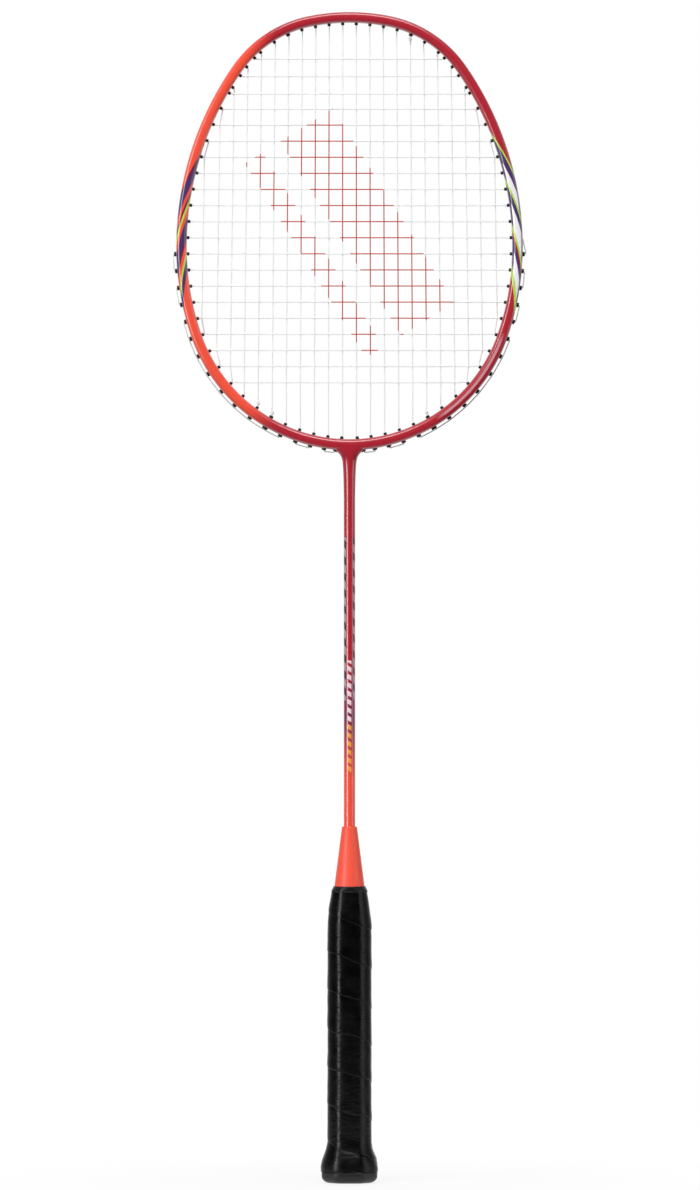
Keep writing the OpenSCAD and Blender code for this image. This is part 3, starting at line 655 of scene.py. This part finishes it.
def grip_polyurethane(finish):
    # Coagulated polyurethane tape: matt black skin, faintly cloudy, with pores and shallow creases
    material, shader, add = surface("polyurethane_tape", {"IOR": 1.5, "Specular IOR Level": 0.22})
    place, *_ = object_place(add)
    clouds = add("TexNoise", {"Vector": place, "Scale": 1 / (9 * MM), "Detail": 4.0})
    colour = add("Mix", (clouds, linear("#010101"), tuple(finish.black)), data_type="RGBA")
    rough = add("MapRange", {"Value": clouds, "From Min": 0.3, "From Max": 0.7,
                             "To Min": 0.24, "To Max": 0.38})
    # Pores of about 0.2 mm, drawn four times as coarse so that they show
    pores = add("TexVoronoi", {"Vector": place, "Scale": 1 / (0.8 * MM)}, feature="F1")
    along = add("Mapping", {"Vector": place, "Rotation": (0, radians(16), 0), "Scale": (1, 1, 3)})
    creases = add("TexNoise", {"Vector": along, "Scale": 1 / (8 * MM), "Detail": 3.0})
    fine = add("Bump", {"Height": pores, "Strength": 0.08, "Distance": 0.2 * MM})
    bump = add("Bump", {"Height": creases, "Strength": 0.22, "Distance": 1.5 * MM, "Normal": fine})
    feed(shader, {"Base Color": colour, "Roughness": rough, "Normal": bump})
    return material


def black_plastic(name, grain, roughness, code):
    # Black plastic from a mould or calender: a low sheen, broken by tool marks the size of grain
    material, shader, add = surface(name, {"IOR": 1.5, "Specular IOR Level": 0.4})
    place, *_ = object_place(add)
    marks = add("TexNoise", {"Vector": place, "Scale": 1 / grain, "Detail": 2.0})
    colour = add("Mix", (marks, linear("#060607"), linear(code)), data_type="RGBA")
    rough = add("MapRange", {"Value": marks, "To Min": roughness - 0.08,
                             "To Max": roughness + 0.08})
    bump = add("Bump", {"Height": marks, "Strength": 0.2, "Distance": grain / 4})
    feed(shader, {"Base Color": colour, "Roughness": rough, "Normal": bump})
    return material


def string_nylon(finish, wide_z):
    # Nylon multifilament under a clear skin: pale and a little glossy, with slanting bars
    # stencilled on the bed
    material, shader, add = surface("nylon_multifilament", {"Roughness": 0.35, "IOR": 1.53})
    place, *_ = object_place(add)
    # Lay of the filaments, about 0.4 mm, drawn three times as coarse so that it shows
    lay = add("TexWave", {"Vector": place, "Scale": 1 / (1.2 * MM), "Distortion": 0.4},
              bands_direction="DIAGONAL").node.outputs["Fac"]
    colour = add("Mix", (lay, linear("#E5E8E9"), tuple(finish.string)), data_type="RGBA")
    turned = add("Mapping", {"Vector": place, "Location": (0, 0, wide_z + 8 * MM),
                             "Rotation": (0, radians(-32), 0)}, vector_type="TEXTURE")
    across, _, along = add("SeparateXYZ", {"Vector": turned}).node.outputs
    wide = add("Math", (across, 12 * MM, 18 * MM), operation="COMPARE")
    narrow = add("Math", (across, -24 * MM, 6 * MM), operation="COMPARE")
    either = add("Math", (wide, narrow), operation="MAXIMUM")
    within = add("Math", (along, 0.0, 66 * MM), operation="COMPARE")
    inked = add("Math", (either, within), operation="MULTIPLY")
    colour = add("Mix", (inked, colour, tuple(finish.ink)), data_type="RGBA")
    bump = add("Bump", {"Height": lay, "Strength": 0.06, "Distance": 0.05 * MM})
    feed(shader, {"Base Color": colour, "Normal": bump})
    return material


def chopped_resin():
    # Moulded resin with chopped carbon: dark grey with short pale flecks
    material, shader, add = surface("chopped_carbon_resin", {"Roughness": 0.45, "IOR": 1.55})
    place, *_ = object_place(add)
    flecks = add("TexVoronoi", {"Vector": place, "Scale": 1 / (1.2 * MM)}, feature="F1")
    colour = add("Mix", (flecks, linear("#3A3B3E"), linear("#1B1C1E")), data_type="RGBA")
    feed(shader, {"Base Color": colour})
    return material


def turned_beech():
    # Steamed beech: warm brown, with grain lines along the handle
    material, shader, add = surface("steamed_beech", {"Roughness": 0.6, "IOR": 1.5})
    place, *_ = object_place(add)
    along = add("Mapping", {"Vector": place, "Scale": (1, 1, 0.06)})
    grain = add("TexNoise", {"Vector": along, "Scale": 1 / (1.5 * MM), "Detail": 4.0})
    colour = add("Mix", (grain, linear("#B98A5E"), linear("#D9B488")), data_type="RGBA")
    bump = add("Bump", {"Height": grain, "Strength": 0.2, "Distance": 0.2 * MM})
    feed(shader, {"Base Color": colour, "Normal": bump})
    return material


# Operators

class RACKET_OT_stage(bpy.types.Operator):
    """Sets up the pale floor, the soft light and the camera"""

    bl_idname = "racket.stage"
    bl_label = "Stage"

    def execute(self, context):
        scene = context.scene
        scene.view_settings.view_transform = "Standard"
        self.camera(scene)
        self.world(scene)
        self.floor(scene)
        # Place, width, height and watts
        self.lamp(scene, "key_light", (-1.7, -1.7, 0.7), 0.5, 1.6, 36)
        self.lamp(scene, "fill_light", (2.3, -0.9, 0.6), 1.4, 1.8, 14)
        self.lamp(scene, "top_light", (0.0, -1.3, 2.3), 1.6, 1.2, 44)
        return {"FINISHED"}

    def camera(self, scene):
        data = bpy.data.cameras.new("camera")
        # A long lens from far back sees the racket square on
        data.lens = 262.3
        data.clip_end = 50
        camera = bpy.data.objects.new("camera", data)
        camera.location = (0.0003, -5.0, 0.3388)
        camera.rotation_euler = (pi / 2, 0, 0)
        scene.collection.objects.link(camera)
        scene.camera = camera

    def lamp(self, scene, name, place, width, height, watts):
        data = bpy.data.lights.new(name, "AREA")
        data.shape = "RECTANGLE"
        data.size, data.size_y, data.energy = width, height, watts
        lamp = bpy.data.objects.new(name, data)
        lamp.location = place
        aim = Vector((0, 0, 0.4)) - lamp.location
        lamp.rotation_euler = aim.to_track_quat("-Z", "Y").to_euler()
        scene.collection.objects.link(lamp)

    def world(self, scene):
        """White behind the racket, dimmer on the camera's side, plain white to the camera."""
        world = bpy.data.worlds.new("studio")
        world.use_nodes = True
        add = partial(add_node, world.node_tree)
        facing = add("TexCoord", {}).node.outputs["Generated"]
        _, y, _ = add("SeparateXYZ", {"Vector": facing}).node.outputs
        level = add("MapRange", {"Value": y, "From Min": 0.0, "From Max": 0.95,
                                 "To Min": 0.04, "To Max": 1.0})
        rays = add("LightPath", {}).node.outputs
        behind = add("Math", (y, 0.85), operation="GREATER_THAN")
        glossy = add("Math", (rays["Is Glossy Ray"], behind), operation="MULTIPLY")
        for white in (rays["Is Camera Ray"], rays["Is Transmission Ray"], glossy):
            level = add("Math", (level, white), operation="MAXIMUM")
        feed(world.node_tree.nodes["Background"], {"Color": (1, 1, 1, 1), "Strength": level})
        scene.world = world

    def floor(self, scene):
        bm = bmesh.new()
        bmesh.ops.create_grid(bm, x_segments=1, y_segments=1, size=0.3)
        bmesh.ops.translate(bm, verts=bm.verts, vec=(0, 0, -0.0002))
        mesh = bpy.data.meshes.new("floor")
        bm.to_mesh(mesh)
        bm.free()
        mesh.materials.append(self.paper())
        floor = bpy.data.objects.new("floor", mesh)
        scene.collection.objects.link(floor)
        floor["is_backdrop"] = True

    def paper(self):
        # Matt white paper that the camera sees as white, but for a share near the racket
        # that keeps its shadow
        material, shader, add = surface("white_paper", {"Roughness": 0.9})
        place, *_ = object_place(add)
        grain = add("TexNoise", {"Vector": place, "Scale": 1 / (20 * MM)})
        shade = add("Mix", (grain, linear("#ECECEC"), linear("#F2F2F2")), data_type="RGBA")
        feed(shader, {"Base Color": shade})
        rays = add("LightPath", {}).node.outputs
        seen = rays["Is Camera Ray"]
        for other in (rays["Is Glossy Ray"], rays["Is Transmission Ray"]):
            seen = add("Math", (seen, other), operation="MAXIMUM")
        far = add("VectorMath", (place,), operation="LENGTH")
        share = add("MapRange", {"Value": far, "From Min": 20 * MM, "From Max": 280 * MM,
                                 "To Min": 0.85, "To Max": 1.0},
                    interpolation_type="SMOOTHSTEP")
        share = add("Math", (seen, share), operation="MULTIPLY")
        white = add("Emission", {"Strength": 1.0})
        both = add("MixShader", (share, shader.outputs[0], white))
        feed(material.node_tree.nodes["Material Output"], {"Surface": both})
        return material


class RACKET_OT_hoop(bpy.types.Operator):
    """Makes the hoop, its string groove, the throat and the neck"""

    bl_idname = "racket.hoop"
    bl_label = "Hoop and throat"

    def execute(self, context):
        head = context.scene.racket_head
        outline = HeadOutline(head)
        bm = bmesh.new()
        across = bm.verts.layers.float.new("across")
        self.tube(bm, head, outline, across)
        self.groove(bm, head, outline, across)
        self.neck(bm, head)
        bmesh.ops.recalc_face_normals(bm, faces=bm.faces)
        new_piece(bm, "lacquered_frame", "frame_hoop",
                  frame_lacquer(context.scene.racket_finish), radians(40))
        return {"FINISHED"}

    def tube(self, bm, head, outline, across):
        """Spins the tube's section down the arcs of the right half and mirrors it."""
        half_width = head.tube_width / 2
        step_length = 0.003
        section = bmesh.ops.create_circle(bm, segments=40, radius=1)["verts"]
        for vert in section:
            angle = atan2(vert.co.y, vert.co.x)
            out, back = rounded_box(angle, half_width, head.tube_depth / 2, head.tube_squareness)
            vert[across] = out
            grown = out if out > 0 else out * (1 + head.inner_growth / half_width)
            vert.co = (0, back, HOOP_HIGH.z - half_width + grown)
        geom = bm.verts[:] + bm.edges[:]
        start = pi / 2
        for centre, radius, end in outline.arcs:
            steps = max(4, round(radius * (start - end) / step_length))
            middle = outline.world(centre.to_3d())
            geom = bmesh.ops.spin(bm, geom=geom, cent=middle, axis=(0, 1, 0),
                                  angle=start - end, steps=steps)["geom_last"]
            start = end
        bmesh.ops.mirror(bm, geom=bm.verts[:] + bm.edges[:] + bm.faces[:], matrix=Matrix(),
                         axis="X", merge_dist=1e-5)
        bmesh.ops.remove_doubles(bm, verts=bm.verts, dist=1e-6)
        bmesh.ops.recalc_face_normals(bm, faces=bm.faces)
        self.swell(bm, head, outline, across)

    def swell(self, bm, head, outline, across):
        """Widens the tube's outer side towards the throat."""
        centre = outline.world(outline.arcs[-1][0].to_3d())
        for vert in bm.verts:
            near = 1 - min(abs(vert.co.x) / head.swell_reach, 1)
            if vert.co.z < outline.wide_z and vert[across] > 0:
                share = vert[across] / (head.tube_width / 2) * near * near * (3 - 2 * near)
                away = vert.co - centre
                away.y = 0
                vert.co += head.outer_swell * share * away.normalized()

    def groove(self, bm, head, outline, across):
        """Sinks the two outermost rows of faces over the upper half."""
        rim = 0.98 * head.tube_width / 2
        wall_lean = 0.00012
        rows = [face for face in bm.faces if face.calc_center_median().z > outline.wide_z
                and all(vert[across] > rim for vert in face.verts)]
        bmesh.ops.inset_region(bm, faces=rows, use_boundary=True, use_even_offset=True,
                               thickness=wall_lean, depth=-head.groove_depth)

    def neck(self, bm, head):
        """Lofts the neck up into the throat, whose front runs out into the face of the hoop."""
        # Height, half width and half depth in millimetres, and squareness
        rings = (
            (394.0, head.neck_radius / MM, head.neck_radius / MM, 2.0), (400.0, 3.40, 3.40, 2.0),
            (406.0, 3.53, 3.55, 2.0), (412.0, 3.78, 3.80, 2.05), (415.8, 4.10, 4.05, 2.1),
            (417.8, 4.60, 4.30, 2.2), (419.0, 5.15, 4.50, 2.4), (420.0, 5.90, 4.68, 2.7),
            (420.8, 6.65, 4.81, 3.0), (421.5, 7.35, 4.91, 3.4), (422.2, 8.00, 4.99, 3.8),
            (423.0, 8.40, 5.07, 4.4), (423.8, 8.40, 5.14, 5.0), (424.6, 8.00, 5.18, 5.0),
            (425.4, 7.20, 5.15, 4.5), (426.3, 5.60, 5.00, 3.5), (427.0, 3.50, 4.60, 2.5))

        def place(angle, height, half_width, half_depth, squareness):
            out, back = rounded_box(angle, half_width, half_depth, squareness)
            return (out * MM, back * MM, height * MM)

        loft(bm, 48, rings, place)


class RACKET_OT_shaft(bpy.types.Operator):
    """Paints the shaft and the cone, and finishes the pieces inside the racket"""

    bl_idname = "racket.shaft"
    bl_label = "Shaft, cone and inner pieces"

    def execute(self, context):
        finish = context.scene.racket_finish
        finish_node("shaft", shaft_lacquer(finish))
        finish_node("cone", cone_abs(finish))
        finish_node("t_joint", chopped_resin())
        finish_node("handle_core", turned_beech())
        return {"FINISHED"}


class RACKET_OT_grip(bpy.types.Operator):
    """Winds the grip tape and makes the finishing tape and the butt cap"""

    bl_idname = "racket.grip"
    bl_label = "Grip and butt cap"

    # Where the flare, the tuck over the cap and the slope at the top start, and how far they run
    flare_top, flare_run = 0.023, 0.0142
    tuck_top, tuck_run, tuck_depth = 0.0088, 0.0023, 0.0006
    slope_low, slope_run, slope_power = 0.1475, 0.02, 1.35

    def execute(self, context):
        sizes = context.scene.racket_handle
        self.wound_tape(sizes, context.scene.racket_finish)
        self.finishing_tape(sizes)
        self.butt_cap(sizes)
        return {"FINISHED"}

    def reach(self, sizes, angle, width, softness=11.5):
        """Distance from the axis to the eight-sided handle, whose corners are soft."""
        grown = width - sizes.width
        depth = sizes.depth + grown
        bevel = sizes.bevel * (1 + grown / sizes.width)
        slanted = ((width + depth) / 2 - bevel) / sqrt(2)
        walls = (width / 2, slanted, depth / 2, slanted)
        facing = ((cos(angle - k * pi / 4), walls[k % 4]) for k in range(8))
        total = sum((cosine / wall) ** softness for cosine, wall in facing if cosine > 0)
        return total ** (-1 / softness)

    def width(self, sizes, height):
        """Width of the grip at a height: flare, straight handle and slope."""
        flare = min(max((self.flare_top - height) / self.flare_run, 0), 1)
        tuck = max((self.tuck_top - height) / self.tuck_run, 0)
        slope = max((height - self.slope_low) / self.slope_run, 0)
        return (sizes.width + sizes.flare * flare * flare * (3 - 2 * flare)
                - self.tuck_depth * tuck * tuck - sizes.slope * slope ** self.slope_power)

    def wound_tape(self, sizes, finish):
        """Spins the section of the tape up the handle in turns that lap over each other."""
        pitch, lap, thick = sizes.tape_pitch, sizes.tape_lap, sizes.tape_thickness
        # Distance from the handle's outline and height, round one turn's section
        section = (
            (-0.6 * lap, -0.0016), (0.1 * lap, -0.0015), (0.5 * lap, -0.0013),
            (0.62 * lap, -0.0009), (0.6 * lap, 0.0006), (0.45 * lap, 0.0022), (0.2 * lap, 0.0045),
            (0.0, 0.008), (0.0, 0.015), (-0.15 * lap, 0.0195), (-0.5 * lap, 0.0212),
            (-1.2 * lap, 0.0224), (-thick, 0.0222), (-thick, 0.012), (-thick, 0.003),
            (-2.2 * lap, -0.0012))
        turns, per_turn = 10, 96
        # Where the spin starts: radius, direction and height
        base, first, start = 0.012, radians(22.2), GRIP_LOW.z - 2 * pitch + 0.007
        bm = bmesh.new()
        verts = [bm.verts.new((*ray(base + out, first), start + up)) for out, up in section]
        for vert, after in zip(verts, verts[1:] + verts[:1]):
            bm.edges.new((vert, after))
        bmesh.ops.spin(bm, geom=bm.verts[:] + bm.edges[:], cent=(0, 0, 0), axis=(0, 0, 1),
                       dvec=(0, 0, pitch / per_turn), angle=-2 * pi * turns,
                       steps=per_turn * turns)
        for vert in bm.verts:
            x, y, z = vert.co
            angle = atan2(y, x)
            # Wound by hand: the edges wander and the tape bulges a little
            wander = 0.0006 * sin(2 * angle + 47 * z) + 0.0004 * sin(3 * angle - 83 * z)
            bulge = 0.0001 * sin(angle + 310 * z) * sin(2 * angle - 190 * z)
            height = min(max(z, GRIP_LOW.z), GRIP_HIGH.z)
            handle = self.reach(sizes, angle, self.width(sizes, height))
            vert.co = (*ray(handle + hypot(x, y) - base + bulge, angle), z + wander)
        for level, side in ((GRIP_LOW.z, -1), (GRIP_HIGH.z, 1)):
            bmesh.ops.bisect_plane(bm, geom=bm.verts[:] + bm.edges[:] + bm.faces[:], dist=1e-7,
                                   plane_co=(0, 0, level), plane_no=(0, 0, side), clear_outer=True)
        bmesh.ops.holes_fill(bm, edges=[edge for edge in bm.edges if edge.is_boundary], sides=0)
        bmesh.ops.recalc_face_normals(bm, faces=bm.faces)
        new_piece(bm, "wound_grip_tape", "grip_wrap", grip_polyurethane(finish),
                  radians(55))

    def lofted(self, sizes, rings, softness):
        """A closed loft up the axis: each ring is a height, a width and a roundness from 0 to 1."""
        def place(angle, height, width, roundness):
            square = self.reach(sizes, angle, width, softness)
            return (*ray((1 - roundness) * square + roundness * width / 2, angle), height)

        bm = bmesh.new()
        bottom = loft(bm, 96, rings, place)
        bmesh.ops.recalc_face_normals(bm, faces=bm.faces)
        return bm, bottom

    def finishing_tape(self, sizes):
        """Vinyl tape that follows the grip's edge below and the cone above."""
        low, high = BAND_LOW.z, BAND_HIGH.z
        base = self.width(sizes, GRIP_HIGH.z)
        # Height, width and roundness
        rings = (
            (low, base - 0.002, 0.1), (low, base + 0.0002, 0.15),
            (low + 0.0004, base + 0.0005, 0.2), (low + 0.0012, base - 0.0001, 0.45),
            (low + 0.0022, base - 0.001, 0.8), (high - 0.0004, 0.0187, 1.0),
            (high, 0.0184, 1.0), (high, 0.0178, 1.0))
        bm, _ = self.lofted(sizes, rings, 24.0)
        new_piece(bm, "vinyl_finishing_tape", "finishing_tape",
                  black_plastic("vinyl_tape", 0.0009, 0.36, "#151416"), radians(40))

    def butt_cap(self, sizes):
        """Moulded cap with a rounded lower edge and a shallow step in its floor."""
        steps, lip_height, lip_inset = 9, 0.0003, 0.0005
        rings = []
        for step in range(steps + 1):
            angle = pi / 2 * step / steps
            rings.append((sizes.cap_round_height * (1 - cos(angle)),
                          sizes.cap_width - 2 * sizes.cap_round_width * (1 - sin(angle)), 0.0))
        rings += [(sizes.cap_height - lip_height, sizes.cap_width, 0.0),
                  (sizes.cap_height, sizes.cap_width - lip_inset, 0.0)]
        bm, bottom = self.lofted(sizes, rings, 22.0)
        for inset, sunk in ((0.0022, 0.0), (0.0003, 0.0003)):
            bmesh.ops.inset_region(bm, faces=bottom, use_even_offset=True,
                                   thickness=inset, depth=-sunk)
        new_piece(bm, "moulded_butt_cap", "butt_cap",
                  black_plastic("moulded_abs", 0.0007, 0.42, "#121214"), radians(40))


class RACKET_OT_grommets(bpy.types.Operator):
    """Finishes the grommets in black nylon"""

    bl_idname = "racket.grommets"
    bl_label = "Grommets"

    def execute(self, context):
        nylon = black_plastic("moulded_nylon", 0.0006, 0.45, "#141416")
        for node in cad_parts:
            if node.endswith("_grommets"):
                finish_node(node, nylon)
        return {"FINISHED"}


class RACKET_OT_strings(bpy.types.Operator):
    """Weaves the two strings along their routes and ties their knots"""

    bl_idname = "racket.strings"
    bl_label = "Strings and knots"

    def execute(self, context):
        scene = context.scene
        outline = HeadOutline(scene.racket_head)
        sizes = scene.racket_strings
        plan = StringPlan(outline, scene.racket_head, sizes)
        nylon = string_nylon(scene.racket_finish, outline.wide_z)
        bend = 0.0008
        for name, route, node in (("woven_mains", plan.main_route(), "main_string"),
                                  ("woven_crosses", plan.cross_route(), "cross_string")):
            self.cord(name, [eased(route, bend)], outline, sizes.diameter, nylon, node)
        coils = [self.coils(*knot, sizes) for knot in plan.knots()]
        self.cord("tied_knots", coils, outline, 0.8 * sizes.diameter, nylon, "string_knots")
        return {"FINISHED"}

    def cord(self, name, routes, outline, diameter, material, node):
        curve = bpy.data.curves.new(name, "CURVE")
        curve.dimensions = "3D"
        curve.bevel_depth = diameter / 2
        curve.bevel_resolution = 2
        curve.use_fill_caps = True
        for route in routes:
            spline = curve.splines.new("POLY")
            spline.points.add(len(route) - 1)
            for point, place in zip(spline.points, route):
                point.co = (*outline.world(place), 1)
        curve.materials.append(material)
        dress(bpy.data.objects.new(name, curve), node)

    def coils(self, middle, along, sizes):
        """Points of a knot: coils round the main's direction and a short cut end."""
        flat = Vector((0, 0, 1))
        across = along.cross(flat)
        points = []
        turns, per_turn, length = 2.75, 12, 0.0015
        for step in range(int(turns * per_turn) + 1):
            angle = 2 * pi * step / per_turn
            up = (step / (turns * per_turn) - 0.5) * length
            around = cos(angle) * across + sin(angle) * flat
            points.append(middle + up * along + sizes.knot_radius * around)
        end = points[-1]
        return points + [end + 0.0011 * along - 0.0002 * across,
                         end + 0.0021 * along - 0.0006 * across]


OPERATORS = (RACKET_OT_stage, RACKET_OT_hoop, RACKET_OT_shaft, RACKET_OT_grip,
             RACKET_OT_grommets, RACKET_OT_strings)


class RACKET_PT_panel(bpy.types.Panel):
    """Lists the racket's pieces"""

    bl_idname = "RACKET_PT_panel"
    bl_label = "Badminton racket"
    bl_space_type = "VIEW_3D"
    bl_region_type = "UI"
    bl_category = "Racket"

    def draw(self, context):
        for operator in OPERATORS:
            self.layout.operator(operator.bl_idname)


GROUPS = {"racket_head": RacketHead, "racket_strings": RacketStrings, "racket_handle": RacketHandle,
          "racket_finish": RacketFinish}


def register():
    for made in (*GROUPS.values(), *OPERATORS, RACKET_PT_panel):
        bpy.utils.register_class(made)
    for name, group in GROUPS.items():
        setattr(bpy.types.Scene, name, PointerProperty(type=group))


def unregister():
    for name in GROUPS:
        delattr(bpy.types.Scene, name)
    for made in (RACKET_PT_panel, *reversed(OPERATORS), *reversed(GROUPS.values())):
        bpy.utils.unregister_class(made)


def main():
    register()
    bpy.ops.racket.stage()
    bpy.ops.racket.hoop()
    bpy.ops.racket.shaft()
    bpy.ops.racket.grip()
    bpy.ops.racket.grommets()
    bpy.ops.racket.strings()
    boxes = {"cad": CAD_BOX, "visual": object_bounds()}
    {name: [list(corner) for corner in box] for name, box in boxes.items()}


if __name__ == "__main__":
    main()
